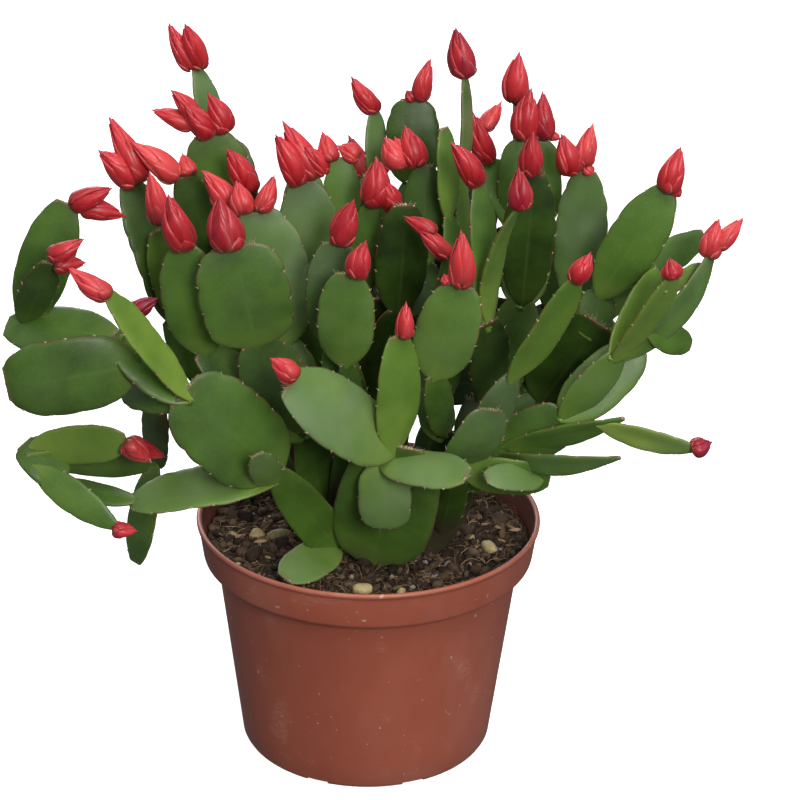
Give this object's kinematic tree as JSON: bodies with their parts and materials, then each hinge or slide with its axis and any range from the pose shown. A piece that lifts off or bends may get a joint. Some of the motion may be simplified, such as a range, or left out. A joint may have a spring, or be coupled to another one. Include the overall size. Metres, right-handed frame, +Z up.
{
  "type": "potted easter cactus",
  "caption": "Potted easter cactus: flat jointed green stem segments with closed red buds at their tips, rooted in dark soil in a round tapered terracotta-coloured plastic pot.",
  "frame": {"origin": "centre of the pot's underside", "axes": "+Z up along the pot's axis, -Y towards the viewer of the picture, +X to the viewer's right"},
  "size_m": [0.2398, 0.1696, 0.2543],
  "materials": {
    "terracotta_plastic": "satin",
    "peat_soil": "matte",
    "tan_pebble": "matte",
    "green_stem": "satin",
    "red_bud": "satin"
  },
  "bodies": {
    "root": {"buds_a2": "red_bud", "buds_a3": "red_bud", "buds_b10": "red_bud", "buds_b14": "red_bud", "buds_b15": "red_bud", "buds_b20": "red_bud", "buds_b7": "red_bud", "buds_b9": "red_bud", "buds_c2": "red_bud", "buds_c4": "red_bud", "buds_c6": "red_bud", "buds_d10": "red_bud", "buds_d13": "red_bud", "buds_d2": "red_bud", "buds_d3": "red_bud", "buds_d5": "red_bud", "buds_d7": "red_bud", "buds_d9": "red_bud", "buds_e2": "red_bud", "buds_e4": "red_bud", "buds_e7": "red_bud", "buds_f10": "red_bud", "buds_f11": "red_bud", "buds_f4": "red_bud", "buds_f6": "red_bud", "buds_f8": "red_bud", "buds_g2": "red_bud", "buds_g4": "red_bud", "buds_g9": "red_bud", "buds_h2": "red_bud", "buds_h3": "red_bud", "buds_h5": "red_bud", "buds_h7": "red_bud", "buds_h8": "red_bud", "buds_h9": "red_bud", "buds_i2": "red_bud", "buds_i5": "red_bud", "buds_j3": "red_bud", "buds_j4": "red_bud", "buds_j8": "red_bud", "buds_k4": "red_bud", "buds_l2": "red_bud", "buds_l4": "red_bud", "buds_m2": "red_bud", "buds_m9": "red_bud", "pebble": "tan_pebble", "pot": "terracotta_plastic", "shoot_a": "green_stem", "shoot_b": "green_stem", "shoot_c": "green_stem", "shoot_d": "green_stem", "shoot_e": "green_stem", "shoot_f": "green_stem", "shoot_g": "green_stem", "shoot_h": "green_stem", "shoot_i": "green_stem", "shoot_j": "green_stem", "shoot_l": "green_stem", "shoot_m": "green_stem", "soil": "peat_soil"}
  },
  "joints": []
}
